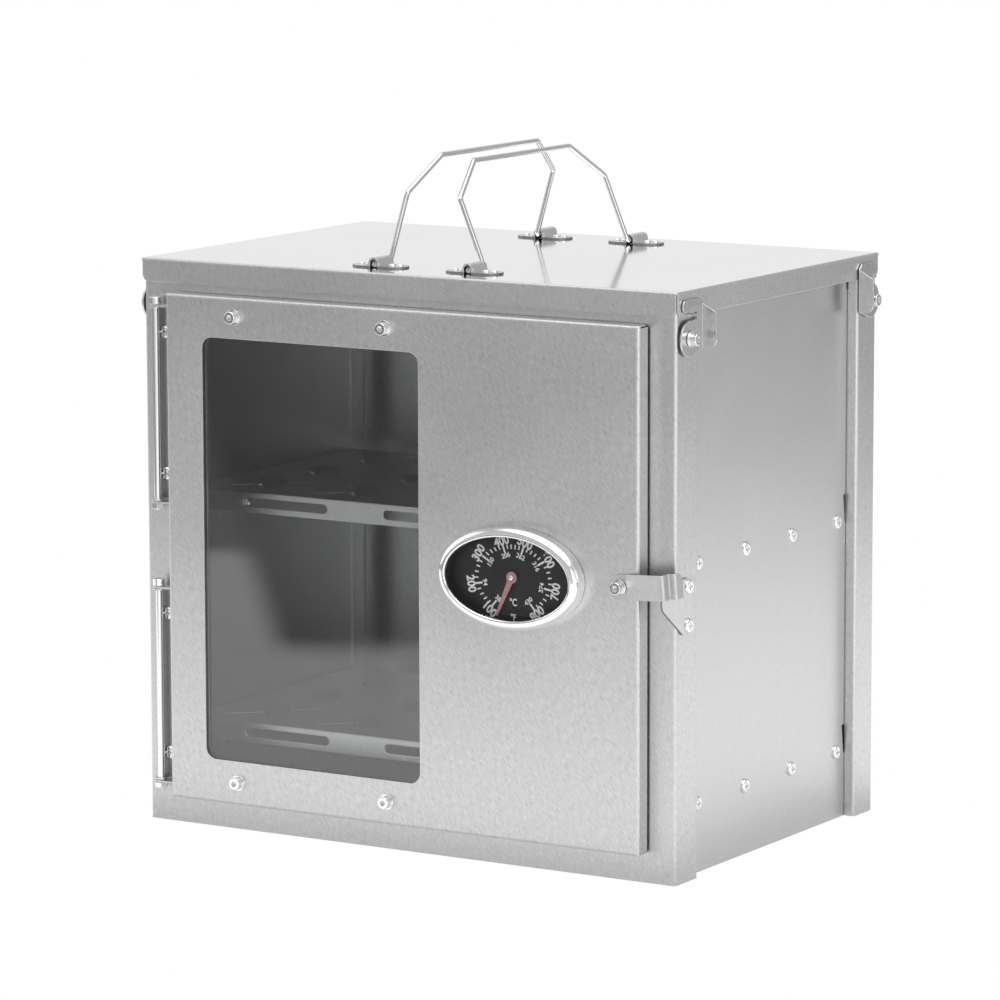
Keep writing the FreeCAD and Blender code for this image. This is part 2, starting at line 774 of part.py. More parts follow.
def window_gasket():
    """A flat fibre gasket between the pane and the retaining frame."""
    outer = round_box(window_left - glass_lap, window_right + glass_lap, glass_back_y, gasket_back_y,
                      window_bottom - glass_lap, window_top + glass_lap, glass_radius, 1)
    edge = glass_lap - gasket_width
    inner = round_box(window_left - edge, window_right + edge, glass_back_y - 1, gasket_back_y + 1,
                      window_bottom - edge, window_top + edge, window_radius, 1)
    return outer.cut(inner)


def window_frame():
    """The retaining frame: a flat ring behind the pane whose outer edge turns forward to the door sheet."""
    outer = round_box(window_left - frame_lap, window_right + frame_lap, door_inner_y, frame_back_y,
                      window_bottom - frame_lap, window_top + frame_lap, window_radius, 1)
    hollow = box(window_left - frame_lap + sheet, window_right + frame_lap - sheet, door_inner_y - 1,
                 gasket_back_y, window_bottom - frame_lap + sheet, window_top + frame_lap - sheet)
    view = round_box(window_left, window_right, door_inner_y, frame_back_y + 1, window_bottom, window_top,
                     window_radius, 1)
    frame = outer.cut(hollow).cut(view)
    for x, z in window_screw_places():
        frame = drill(frame, V(x, frame_back_y, z), V(0, 1, 0), screw_radius + hole_clearance, 6 * sheet)
    return frame


def window_screws():
    shank = frame_back_y - door_y + nut_height + thread_end + washer_thickness
    seat_y = door_y - washer_thickness
    return compound([cap_screw(V(x, seat_y, z), V(0, -1, 0), shank) for x, z in window_screw_places()])


def window_nuts():
    return compound([nut(V(x, frame_back_y, z), V(0, 1, 0)) for x, z in window_screw_places()])


def door_washers():
    """Washers under the window screws' heads and under the latch screw's head."""
    flat = [washer(V(x, door_y, z), V(0, -1, 0)) for x, z in window_screw_places()]
    seat = door_y - rest_gap - strip_sheet - rest_gap
    flat.append(washer(V(latch_x, seat, latch_z), V(0, -1, 0)))
    return compound(flat)


def door_latch_screw():
    seat = door_y - rest_gap - strip_sheet - rest_gap - washer_thickness
    shank = door_inner_y - seat + nut_height + thread_end
    return cap_screw(V(latch_x, seat, latch_z), V(0, -1, 0), shank)


def door_latch_nut():
    return nut(V(latch_x, door_inner_y, latch_z), V(0, 1, 0))


def door_latch():
    """The latch strip: it turns on its screw, leans forward to pass the keeper's front edge, steps back along
    the keeper's face, and ends in a finger tail."""
    nose = front_y + keeper_front_rel - 2 * rest_gap - strip_sheet
    jog = front_y + strip_jog_y_rel
    face = door_y - rest_gap - strip_sheet
    outer_x = keeper_face + strip_side_gap + strip_sheet
    half = strip_width / 2
    path = [(latch_x - half, face), (latch_x + strip_flat, face), (outer_x - strip_nose, nose), (outer_x, nose),
            (outer_x, jog), (outer_x + strip_jog, jog), (outer_x + strip_jog, jog + strip_tail)]
    strip = folded_sheet(path, strip_sheet, bend_radius, strip_width)
    strip.translate(V(0, 0, latch_z - half))
    tail = [e for e in strip.Edges if e.BoundBox.ZLength < 0.01 and e.BoundBox.YLength < 0.01
            and abs(e.CenterOfMass.y - jog - strip_tail) < 0.01 and e.CenterOfMass.z > latch_z]
    strip = strip.makeFillet(strip_tail_round, tail)
    end = rod(V(latch_x, face - 1, latch_z), V(0, 1, 0), half, strip_sheet + 2)
    rest = box(latch_x, outer_x + strip_jog + 1, nose - 1, jog + strip_tail + 1, latch_z - half, latch_z + half)
    strip = strip.common(end.fuse(rest))
    strip = drill(strip, V(latch_x, face, latch_z), V(0, 1, 0), screw_radius + running_clearance, 4 * sheet)
    strip.rotate(V(latch_x, 0, latch_z), V(0, -1, 0), strip_tilt)
    return strip


def keeper_plate():
    """The plate on the right return that the latch strip grips, with its lower front corner cut away."""
    front = front_y + keeper_front_rel
    rear = front_y + keeper_rear_rel
    slant = front_y + keeper_slant_end_rel
    corners = [(front, keeper_top), (front, keeper_slant_start), (slant, keeper_bottom), (rear, keeper_bottom),
               (rear, keeper_top)]
    plate = prism([V(half_width, y, z) for y, z in corners], V(keeper_sheet, 0, 0))
    edges = [e for e in plate.Edges if e.BoundBox.XLength > keeper_sheet / 2]
    plate = plate.makeFillet(keeper_round, edges)
    for z in (keeper_screw_z, keeper_screw_z - keeper_screw_pitch):
        centre = V(half_width, front_y + keeper_screw_y_rel, z)
        plate = drill(plate, centre, V(1, 0, 0), screw_radius + hole_clearance, 4 * keeper_sheet)
    return plate


def keeper_screws():
    shank = keeper_sheet + sheet + nut_height + thread_end
    y = front_y + keeper_screw_y_rel
    places = (keeper_screw_z, keeper_screw_z - keeper_screw_pitch)
    return compound([pan_screw(V(keeper_face, y, z), V(1, 0, 0), shank) for z in places])


def keeper_nuts():
    y = front_y + keeper_screw_y_rel
    places = (keeper_screw_z, keeper_screw_z - keeper_screw_pitch)
    return compound([nut(V(half_width - sheet, y, z), V(-1, 0, 0)) for z in places])


def corner_latch():
    """The front right latch, drawn about its pivot: a disc, a tongue that hooks over the lid's lug, and a thumb
    tab folded outwards, with its top edge sloping down to the free side."""
    x = latch_inner
    run = V(latch_sheet, 0, 0)
    top = tongue_bottom + tongue_height
    disc = rod(V(x, 0, 0), V(1, 0, 0), disc_radius, latch_sheet)
    tab_top = top - tab_drop
    web = prism([V(x, 0, -disc_radius), V(x, fold_back, tab_bottom), V(x, fold_back, tab_top),
                 V(x, fold_back - tab_drop, top), V(x, notch_end, top), V(x, notch_end, notch_floor),
                 V(x, -disc_radius * 0.35, disc_radius * 0.93)], run)
    end = tongue_height / 2
    tongue = box(x, x + latch_sheet, -tongue_front + end, fold_back - tab_drop, tongue_bottom, top)
    tongue = tongue.fuse(rod(V(x, -tongue_front + end, tongue_bottom + end), V(1, 0, 0), end, latch_sheet))
    free = latch_face + tab_reach
    rear = fold_back - latch_sheet
    tab = prism([V(x, rear, tab_bottom), V(free, rear, tab_bottom), V(free, rear, tab_top - tab_slope),
                 V(latch_face, rear, tab_top), V(x, rear, tab_top)], V(0, latch_sheet, 0))
    points = [e for e in tab.Edges if e.BoundBox.YLength > latch_sheet / 2
              and abs(e.CenterOfMass.x - free) < 1e-6 and e.CenterOfMass.z > 0]
    tab = tab.makeFillet(tab_point_round, points)
    points = [e for e in tab.Edges if e.BoundBox.YLength > latch_sheet / 2
              and abs(e.CenterOfMass.x - free) < 1e-6 and abs(e.CenterOfMass.z - tab_bottom) < 1e-6]
    tab = tab.makeFillet(tab_round, points)
    latch = disc.fuse([web, tongue, tab]).removeSplitter()
    outer_fold = [e for e in latch.Edges if e.BoundBox.ZLength > 15 and abs(e.CenterOfMass.x - x) < 1e-6
                  and abs(e.CenterOfMass.y - fold_back) < 1e-6]
    if outer_fold:
        latch = latch.makeFillet(latch_sheet * 0.9, outer_fold)
    latch = latch.cut(rod(V(x - 1, 0, 0), V(1, 0, 0), screw_radius + running_clearance, latch_sheet + 2))
    latch.translate(V(0, front_y + pivot_inset, pivot_z))
    return latch


def pivot_group(make):
    """One small part at each of the four latch pivots, made for the front right and mirrored."""
    part = make(V(0, front_y + pivot_inset, pivot_z))
    right = [part, mirror_y(part)]
    return compound(right + [mirror_x(p) for p in right])


def pivot_spacer(place):
    return ring(place + V(half_width, 0, 0), V(1, 0, 0), washer_radius, screw_radius + hole_clearance,
                latch_inner - rest_gap - half_width)


def pivot_washer(place):
    return washer(place + V(latch_face + rest_gap, 0, 0), V(1, 0, 0))


def pivot_screw(place):
    seat = latch_face + rest_gap + washer_thickness
    shank = seat - half_width + sheet + nut_height + thread_end
    return cap_screw(place + V(seat, 0, 0), V(1, 0, 0), shank)


def pivot_nut(place):
    return nut(place + V(half_width - sheet, 0, 0), V(-1, 0, 0))


def clip_places():
    places = []
    for sx in (-1, 1):
        for sy in (-1, 1):
            places.append((sx * handle_spread / 2, sy * clip_pitch / 2))
    return places


def rivet_offsets():
    return (-rivet_outer, -rivet_inner, rivet_inner, rivet_outer)


def handle_clip(x, y):
    """A clip riveted to the lid: a strip with round ends, arched in its middle over the bail's wire, with the
    arch's feet flaring into the flat."""
    reach = clip_bore + clip_sheet
    half = clip_width / 2
    plate = round_box(-clip_length / 2, clip_length / 2, -half, half, 0, clip_sheet, half - 0.05, 2)
    start = V(0, -half, clip_arch_height)
    saddle = rod(start, V(0, 1, 0), reach, clip_width)
    upper_half = box(-reach, reach, -half, half, 0, clip_arch_height + reach)
    saddle = saddle.common(upper_half).fuse(box(-reach, reach, -half, half, 0, clip_arch_height))
    clip = plate.fuse(saddle).removeSplitter()
    feet = [e for e in clip.Edges if e.BoundBox.YLength > clip_width / 2
            and abs(e.CenterOfMass.z - clip_sheet) < 1e-6 and abs(abs(e.CenterOfMass.x) - reach) < 0.3]
    clip = clip.makeFillet(clip_foot_round, feet)
    hollow = rod(start, V(0, 1, 0), clip_bore, clip_width)
    hollow = hollow.fuse(box(-clip_bore, clip_bore, -half, half, 0, clip_arch_height))
    clip = clip.cut(hollow)
    lips = [e for e in clip.Edges if e.BoundBox.YLength > clip_width / 2
            and abs(e.CenterOfMass.z) < 1e-6 and abs(abs(e.CenterOfMass.x) - clip_bore) < 0.1]
    clip = clip.makeFillet(clip_lip_round, lips)
    for dx in rivet_offsets():
        clip = drill(clip, V(dx, 0, 0), V(0, 0, 1), rivet_radius * 0.5 + hole_clearance, 4 * clip_sheet)
    clip.translate(V(x, y, lid_top))
    return clip


def handle_clip_rivets():
    rivets = []
    for x, y in clip_places():
        for dx in rivet_offsets():
            base = V(x + dx, y, lid_top + clip_sheet)
            head = rod(base, V(0, 0, 1), rivet_radius, rivet_height)
            top = [e for e in head.Edges if abs(e.CenterOfMass.z - base.z - rivet_height) < 1e-6]
            head = head.makeFillet(rivet_height * 0.8, top)
            shank = rod(base, V(0, 0, -1), rivet_radius * 0.5, clip_sheet + sheet)
            tail = rod(base - V(0, 0, clip_sheet + sheet), V(0, 0, -1), rivet_radius * 0.8, rivet_tail)
            rivets.append(head.fuse(shank).fuse(tail))
    return compound(rivets)


def bail(side, lean):
    """A wire bail: its ends lie in two clips, and it leans inwards by the angle given."""
    end_y = clip_pitch / 2 + clip_width / 2 - 1
    knee_y = leg_y
    half = [V(0, end_y, 0), V(0, leg_y, 0), V(0, knee_y, knee_height),
            V(0, leg_y - shoulder_inset, shoulder_height)]
    points = half + [V(p.x, -p.y, p.z) for p in half[::-1]]
    bend = [wire_bend_radius] * (len(points) - 2)
    path = Part.Wire(corner_edges(points, bend))
    section = Part.Wire(Part.Circle(points[0], V(0, 1, 0), wire_radius).toShape())
    wire = path.makePipeShell([section], True, False)
    wire.rotate(V(0, 0, 0), V(0, 1, 0), -side * lean)
    wire.translate(V(side * handle_spread / 2, 0, bail_axis_z))
    return wire


def ellipse_prism(half_x, half_z, y0, y1):
    """An elliptical disc about the gauge's axis, from y0 back to y1."""
    centre = V(gauge_x, y0, gauge_z)
    curve = Part.Ellipse(centre + V(half_x, 0, 0), centre + V(0, 0, half_z), centre)
    return Part.Face(Part.Wire(curve.toShape())).extrude(V(0, y1 - y0, 0))


def gauge_bezel():
    """The bright oval ring: a skirt down to the door and a rounded lip that holds the lens."""
    a = gauge_half_width
    b = gauge_half_height
    base = door_y - case_slack
    body = ellipse_prism(a, b, gauge_front_y, base)
    body = body.cut(ellipse_prism(a - bezel_lip, b - bezel_lip, gauge_front_y - 1, base + 1))
    rims = [e for e in body.Edges if abs(e.BoundBox.YMax - gauge_front_y) < 1e-4]
    rims.sort(key=lambda e: e.Length)
    body = body.makeFillet(bezel_outer_round, [rims[-1]])
    rims = [e for e in body.Edges if abs(e.BoundBox.YMax - gauge_front_y) < 1e-4]
    rims.sort(key=lambda e: e.Length)
    body = body.makeFillet(bezel_inner_round, [rims[0]])
    hollow = ellipse_prism(a - bezel_wall, b - bezel_wall, gauge_front_y + bezel_lip_depth, base + 1)
    return body.cut(hollow)


def gauge_case():
    """The oval cup inside the bezel: it stands on the door and carries the dial."""
    a = gauge_half_width - bezel_wall - case_slack
    b = gauge_half_height - bezel_wall - case_slack
    rim_y = gauge_front_y + bezel_lip_depth + lens_thickness + case_slack
    cup = ellipse_prism(a, b, rim_y, door_y)
    cup = cup.cut(ellipse_prism(a - case_wall, b - case_wall, rim_y - 1, door_y - case_wall))
    return drill(cup, V(gauge_x, door_y, gauge_z), V(0, 1, 0), stem_radius + hole_clearance, 6 * sheet)


def gauge_lens():
    y0 = gauge_front_y + bezel_lip_depth
    return ellipse_prism(gauge_half_width - lens_inset, gauge_half_height - lens_inset, y0, y0 + lens_thickness)


def gauge_dial():
    edge = bezel_wall + case_slack + case_wall + dial_slack
    dial = ellipse_prism(gauge_half_width - edge, gauge_half_height - edge, dial_y, dial_y + dial_thickness)
    bore = spindle_radius + 2 * running_clearance
    return drill(dial, V(gauge_x, dial_y, gauge_z), V(0, 1, 0), bore, 4 * sheet)


def gauge_stem():
    """The threaded stem and the probe behind the door, bored for the pointer's spindle."""
    length = door_y - stem_start_y + stem_thread_end
    stem = rod(V(gauge_x, stem_start_y, gauge_z), V(0, 1, 0), stem_radius, length)
    probe_y = door_y + stem_thread_end
    probe = rod(V(gauge_x, probe_y, gauge_z), V(0, 1, 0), probe_radius, probe_length)
    tip = [e for e in probe.Edges if abs(e.CenterOfMass.y - probe_y - probe_length) < 1e-6]
    probe = probe.makeFillet(probe_radius * 0.6, tip)
    bore = rod(V(gauge_x, stem_start_y, gauge_z), V(0, 1, 0), spindle_radius + 2 * running_clearance,
               spindle_length + 1)
    return stem.fuse(probe).cut(bore)


def gauge_washer():
    bore = stem_radius + hole_clearance
    return ring(V(gauge_x, door_inner_y, gauge_z), V(0, 1, 0), gauge_washer_radius, bore, sheet)


def gauge_nut():
    return nut(V(gauge_x, door_inner_y + sheet, gauge_z), V(0, 1, 0), gauge_nut_flats, gauge_nut_height,
               stem_radius)


def gauge_pointer():
    """The pointer: a tapered blade with a round boss, a bright cap and a spindle."""
    y = pointer_y - pointer_sheet
    blade = prism([V(-pointer_root, y, pointer_tail), V(pointer_root, y, pointer_tail),
                   V(pointer_root, y, 0), V(pointer_tip, y, -pointer_length),
                   V(-pointer_tip, y, -pointer_length), V(-pointer_root, y, 0)], V(0, pointer_sheet, 0))
    blade = blade.common(box(-pointer_root, pointer_root, y, pointer_y, -pointer_length, pointer_hub * 0.5))
    boss = rod(V(0, y, 0), V(0, 1, 0), pointer_hub, pointer_sheet)
    cap = rod(V(0, y, 0), V(0, -1, 0), pointer_cap_radius, pointer_cap_height)
    spindle = rod(V(0, pointer_y - pointer_sheet, 0), V(0, 1, 0), spindle_radius,
                  stem_start_y - y + spindle_length)
    pointer = blade.fuse([boss, cap, spindle])
    pointer.rotate(V(0, 0, 0), V(0, 1, 0), pointer_angle)
    pointer.translate(V(gauge_x, 0, gauge_z))
    return pointer


def parts():
    """Every node's name and shape."""
    nodes = {
        "front_panel": front_panel(),
        "back_panel": back_panel(),
        "side_panel_right": side_panel_right(),
        "side_panel_left": mirror_x(side_panel_right()),
        "bottom_plate": bottom_plate(),
        "lid_cover": lid_cover(),
        "rail_screws_right": rail_screws_right(),
        "rail_screws_left": mirror_x(rail_screws_right()),
        "rail_nuts_right": rail_nuts_right(),
        "rail_nuts_left": mirror_x(rail_nuts_right()),
        "hinge_pin_nuts": hinge_pin_nuts(),
        "hinge_bracket_screws": hinge_bracket_screws(),
        "hinge_bracket_nuts": hinge_bracket_nuts(),
        "keeper_plate": keeper_plate(),
        "keeper_screws": keeper_screws(),
        "keeper_nuts": keeper_nuts(),
        "latch_pivot_screws": pivot_group(pivot_screw),
        "latch_pivot_spacers": pivot_group(pivot_spacer),
        "latch_pivot_washers": pivot_group(pivot_washer),
        "latch_pivot_nuts": pivot_group(pivot_nut),
        "handle_clip_rivets": handle_clip_rivets(),
        "handle_left": bail(-1, left_lean),
        "handle_right": bail(1, right_lean),
        "door_panel": door_panel(),
        "window_glass": window_glass(),
        "window_gasket": window_gasket(),
        "window_frame": window_frame(),
        "window_screws": window_screws(),
        "window_nuts": window_nuts(),
        "door_washers": door_washers(),
        "door_latch": door_latch(),
        "door_latch_screw": door_latch_screw(),
        "door_latch_nut": door_latch_nut(),
        "gauge_bezel": gauge_bezel(),
        "gauge_case": gauge_case(),
        "gauge_lens": gauge_lens(),
        "gauge_dial": gauge_dial(),
        "gauge_stem": gauge_stem(),
        "gauge_washer": gauge_washer(),
        "gauge_nut": gauge_nut(),
        "gauge_pointer": gauge_pointer(),
    }
    for level, z in rail_heights.items():
        nodes["rack_" + level] = rack(z)
        nodes["rack_rail_right_" + level] = rack_rail_right(z)
        nodes["rack_rail_left_" + level] = mirror_x(rack_rail_right(z))
    for level, centre in hinge_centres.items():
        nodes["hinge_bracket_" + level] = hinge_bracket(centre)
        nodes["hinge_pin_" + level] = hinge_pin(centre)
    latch = corner_latch()
    nodes["corner_latch_front_right"] = latch
    nodes["corner_latch_front_left"] = mirror_x(latch)
    nodes["corner_latch_back_right"] = mirror_y(latch)
    nodes["corner_latch_back_left"] = mirror_x(mirror_y(latch))
    for (x, y), name in zip(clip_places(), ("front_left", "back_left", "front_right", "back_right")):
        nodes["handle_clip_" + name] = handle_clip(x, y)
    return nodes


os.makedirs("parts", exist_ok=True)
for name, shape in parts().items():
    shape.exportStep("parts/" + name + ".step")
    kind = "ok" if shape.isValid() else "INVALID"
    print(name, kind, len(shape.Solids), "solids", round(shape.Volume / 1000, 3), "cm3")
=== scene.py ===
# %% [markdown]
# A folding stove-top oven of thin stainless sheet, dressed for the camera.
# The CAD solids carry the true shapes and sizes, so they stay in view. This script gives
# each of them its finish, prints the thermometer's dial and sets up the light and camera.
# It works in metres, in the CAD's own frame.

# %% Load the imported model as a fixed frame
import json
import math
import bmesh
import bpy
from mathutils import Matrix, Vector


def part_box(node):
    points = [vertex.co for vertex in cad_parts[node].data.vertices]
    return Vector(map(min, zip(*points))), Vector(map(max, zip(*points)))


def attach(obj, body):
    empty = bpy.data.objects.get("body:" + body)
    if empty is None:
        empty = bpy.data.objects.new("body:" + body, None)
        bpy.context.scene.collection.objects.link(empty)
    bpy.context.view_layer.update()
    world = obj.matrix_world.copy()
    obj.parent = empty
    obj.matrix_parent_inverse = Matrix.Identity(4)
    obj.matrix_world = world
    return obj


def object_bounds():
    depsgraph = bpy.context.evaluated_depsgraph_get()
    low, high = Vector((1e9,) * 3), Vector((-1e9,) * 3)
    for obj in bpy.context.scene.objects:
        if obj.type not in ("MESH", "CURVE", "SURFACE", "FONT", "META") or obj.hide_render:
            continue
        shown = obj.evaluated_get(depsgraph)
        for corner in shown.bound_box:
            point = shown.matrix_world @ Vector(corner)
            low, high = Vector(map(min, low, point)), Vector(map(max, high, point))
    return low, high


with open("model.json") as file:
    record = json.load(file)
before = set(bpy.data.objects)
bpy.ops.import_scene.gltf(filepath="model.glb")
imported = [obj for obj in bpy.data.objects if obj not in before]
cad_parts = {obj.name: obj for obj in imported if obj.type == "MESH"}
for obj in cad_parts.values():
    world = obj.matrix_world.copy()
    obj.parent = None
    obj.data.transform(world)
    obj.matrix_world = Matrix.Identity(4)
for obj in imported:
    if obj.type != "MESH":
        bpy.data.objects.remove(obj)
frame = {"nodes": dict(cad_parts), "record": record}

nodes = frame["nodes"]
cad_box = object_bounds()
MM = 0.001

# %% [markdown]
# The camera stands about three metres away at the height of a seated person, and looks a
# little down on the oven's front and right side. A long lens keeps its edges nearly parallel.
# The turn, dip and tilt come from the oven's own edges in the photograph.

# %% Camera
CAMERA_TURN = math.radians(31.491)
CAMERA_DIP = math.radians(8.861)
CAMERA_TILT = math.radians(-0.16)
CAMERA_DISTANCE = 3.06015
CAMERA_TARGET = Vector((0.00191, -0.016, 0.18713))


def turned_camera(turn, dip, tilt, target, distance):
    ahead = Vector((-math.sin(turn) * math.cos(dip), math.cos(turn) * math.cos(dip), -math.sin(dip)))
    level = Vector((math.cos(turn), math.sin(turn), 0))
    upward = level.cross(ahead)
    right = math.cos(tilt) * level + math.sin(tilt) * upward
    up = math.cos(tilt) * upward - math.sin(tilt) * level
    pose = Matrix((right, up, -ahead)).transposed().to_4x4()
    pose.translation = target - ahead * distance
    return pose


camera = bpy.data.objects.new("camera", bpy.data.cameras.new("camera"))
camera.data.lens = 191.66
camera.data.sensor_width = 36
camera.matrix_world = turned_camera(CAMERA_TURN, CAMERA_DIP, CAMERA_TILT, CAMERA_TARGET, CAMERA_DISTANCE)
bpy.context.scene.collection.objects.link(camera)
bpy.context.scene.camera = camera
print("camera at", [round(c, 3) for c in camera.matrix_world.translation])

# %% [markdown]
# Shader nodes are wired by hand in Blender. In code the same work is short with two helpers:
# one adds a node and fills or links its inputs, the other starts a node group with named
# sockets, so that one effect can sit in many materials with its own values in each. The
# rest are short names for the nodes that come again and again.


# %% Helpers for shader nodes
def add(tree, kind, inputs=None, **settings):
    node = tree.nodes.new(kind)
    for name, value in settings.items():
        setattr(node, name, value)
    for name, value in (inputs or {}).items():
        if isinstance(value, bpy.types.NodeSocket):
            tree.links.new(value, node.inputs[name])
        else:
            node.inputs[name].default_value = value
    return node


def calc(tree, operation, first, second=0.0, third=0.0):
    return add(tree, "ShaderNodeMath", {0: first, 1: second, 2: third}, operation=operation).outputs[0]


def new_group(name, inputs, outputs):
    tree = bpy.data.node_groups.new(name, "ShaderNodeTree")
    for title, value in inputs.items():
        socket = tree.interface.new_socket(title, in_out="INPUT", socket_type="NodeSocketFloat")
        socket.default_value = value
    for title, kind in outputs.items():
        tree.interface.new_socket(title, in_out="OUTPUT", socket_type="NodeSocket" + kind)
    return tree, tree.nodes.new("NodeGroupInput").outputs, tree.nodes.new("NodeGroupOutput").inputs


def use_group(tree, group, inputs):
    return add(tree, "ShaderNodeGroup", inputs, node_tree=group).outputs


def span(tree, value, start, end, low, high, **settings):
    ends = {0: value, 1: start, 2: end, 3: low, 4: high}
    return add(tree, "ShaderNodeMapRange", ends, **settings).outputs[0]


def soft_step(tree, value, start, end, low, high):
    return span(tree, value, start, end, low, high, interpolation_type="SMOOTHSTEP")


def mix(tree, factor, first, second):
    return add(tree, "ShaderNodeMix", {0: factor, 2: first, 3: second}).outputs[0]


def vector_math(tree, operation, first, second=(0, 0, 0)):
    return add(tree, "ShaderNodeVectorMath", {0: first, 1: second}, operation=operation).outputs


# %% [markdown]
# Brushed stainless sheet is ground with a belt before it is cut and folded, so its grain
# lies in the plane of each face and runs one way across it. The group picks the two axes
# that lie in the face, turns them to the belt's direction and stretches a noise along it.
# A second, fainter set of strokes crosses the first, as on the door of this oven.

# %% Group: grain of brushed sheet
FACING = 0.7
CROSS_TURN = 1.1
CROSS_SHARE = 0.35
grain, gin, gout = new_group(
    "brushed_grain",
    {"Angle": 0.8, "Stroke Length": 5.0, "Stroke Width": 0.6},
    {"Streak": "Float", "Cloud": "Float"})
where = add(grain, "ShaderNodeTexCoord")
place = add(grain, "ShaderNodeSeparateXYZ", {0: where.outputs["Object"]}).outputs
facing = add(grain, "ShaderNodeSeparateXYZ", {0: where.outputs["Normal"]}).outputs
faces_side = calc(grain, "GREATER_THAN", calc(grain, "ABSOLUTE", facing[0]), FACING)
faces_up = calc(grain, "GREATER_THAN", calc(grain, "ABSOLUTE", facing[2]), FACING)
across = mix(grain, faces_side, place[0], place[1])
along = mix(grain, faces_up, place[2], place[1])
flat = add(grain, "ShaderNodeCombineXYZ", {0: across, 1: along}).outputs[0]


def strokes(angle, length, width):
    turned = add(grain, "ShaderNodeVectorRotate", {"Vector": flat, "Angle": angle}, rotation_type="Z_AXIS")
    per_length = calc(grain, "DIVIDE", 1 / MM, length)
    per_width = calc(grain, "DIVIDE", 1 / MM, width)
    stretch = add(grain, "ShaderNodeCombineXYZ", {0: per_length, 1: per_width}).outputs[0]
    spot = vector_math(grain, "MULTIPLY", turned.outputs[0], stretch)[0]
    noise = add(grain, "ShaderNodeTexNoise", {"Vector": spot, "Scale": 1.0, "Detail": 2.0})
    return noise.outputs["Fac"]


main_strokes = strokes(gin["Angle"], gin["Stroke Length"], gin["Stroke Width"])
cross_angle = calc(grain, "ADD", gin["Angle"], CROSS_TURN)
cross_strokes = strokes(cross_angle, gin["Stroke Length"], gin["Stroke Width"])
grain.links.new(mix(grain, CROSS_SHARE, main_strokes, cross_strokes), gout["Streak"])
cloud = add(grain, "ShaderNodeTexNoise", {"Vector": where.outputs["Object"], "Scale": 14.0, "Detail": 3.0})
grain.links.new(cloud.outputs["Fac"], gout["Cloud"])
print("group", grain.name, len(grain.nodes), "nodes")

# %% [markdown]
# Thin sheet is cut with a laser and then tumbled, which rounds its edges by a few tenths of
# a millimetre and leaves them brighter than the faces. The bevel node looks round each
# point and says how far the normal would turn on such a rounded edge: that turn sets how much
# the edge is lightened, partly as wear and partly as a painted highlight along the edge.

# %% Group: rounded edges, worn and with a painted highlight
WEAR_AND_HIGHLIGHT_GAIN = 3.0
wear_and_highlight, win, wout = new_group(
    "edge_wear_and_highlight",
    {"Radius": 0.5 * MM, "Breaks": 400.0},
    {"Edge": "Float", "Normal": "Vector"})
rounded = add(wear_and_highlight, "ShaderNodeBevel", {"Radius": win["Radius"]}, samples=4)
true_normal = add(wear_and_highlight, "ShaderNodeNewGeometry").outputs["Normal"]
likeness = vector_math(wear_and_highlight, "DOT_PRODUCT", rounded.outputs[0], true_normal)["Value"]
# The turn of the normal sets how much the edge is lightened: part wear, part painted highlight.
bend = calc(wear_and_highlight, "MULTIPLY", calc(wear_and_highlight, "SUBTRACT", 1.0, likeness), WEAR_AND_HIGHLIGHT_GAIN)
wear_spot = add(wear_and_highlight, "ShaderNodeTexCoord").outputs["Object"]
patches = add(wear_and_highlight, "ShaderNodeTexNoise", {"Vector": wear_spot, "Scale": win["Breaks"], "Detail": 2.0})
worn = span(wear_and_highlight, patches.outputs["Fac"], 0.3, 0.6, 0.4, 1.0)
edge = add(wear_and_highlight, "ShaderNodeMath", {0: bend, 1: worn}, operation="MULTIPLY", use_clamp=True).outputs[0]
wear_and_highlight.links.new(edge, wout["Edge"])
wear_and_highlight.links.new(rounded.outputs[0], wout["Normal"])
print("group", wear_and_highlight.name, len(wear_and_highlight.nodes), "nodes")

# %% [markdown]
# Every metal here is one recipe with its own numbers: a bare metal whose grain lightens and
# darkens it a little, whose clouds of slightly duller polish change its roughness, and whose
# edges are brighter, partly from wear and partly as a painted highlight. Strokes that can be felt go into the
# bump.


# %% Bare metals
BLUE_CAST = 1.008
STROKE_DEPTH = 0.2 * MM


def bare_metal(name, tone, roughness, angle=0.8, length=5.0, width=0.6, contrast=0.1, bump=0.02,
               wear_and_highlight_gain=1.25, edge_radius=0.5 * MM):
    material = bpy.data.materials.new(name)
    material.use_nodes = True
    tree = material.node_tree
    shader = tree.nodes["Principled BSDF"]
    marks = use_group(tree, grain, {"Angle": angle, "Stroke Length": length, "Stroke Width": width})
    edges = use_group(tree, wear_and_highlight, {"Radius": edge_radius})
    shade = span(tree, marks["Streak"], 0.35, 0.65, 1 - contrast, 1 + contrast)
    drift = span(tree, marks["Cloud"], 0.3, 0.7, 0.985, 1.015)
    level = calc(tree, "MULTIPLY", calc(tree, "MULTIPLY", shade, drift), tone)
    # Edges are lightened towards a brighter tone: partly wear, partly a painted highlight.
    bright = mix(tree, edges["Edge"], level, min(1.0, tone * wear_and_highlight_gain))
    blue = calc(tree, "MULTIPLY", bright, BLUE_CAST)
    colour = add(tree, "ShaderNodeCombineColor", {0: bright, 1: bright, 2: blue})
    dull = span(tree, marks["Cloud"], 0.3, 0.7, roughness * 0.93, roughness * 1.07)
    felt = {"Strength": bump, "Distance": STROKE_DEPTH, "Height": marks["Streak"], "Normal": edges["Normal"]}
    lift = add(tree, "ShaderNodeBump", felt)
    tree.links.new(colour.outputs[0], shader.inputs["Base Color"])
    tree.links.new(dull, shader.inputs["Roughness"])
    tree.links.new(lift.outputs[0], shader.inputs["Normal"])
    shader.inputs["Metallic"].default_value = 1.0
    return material


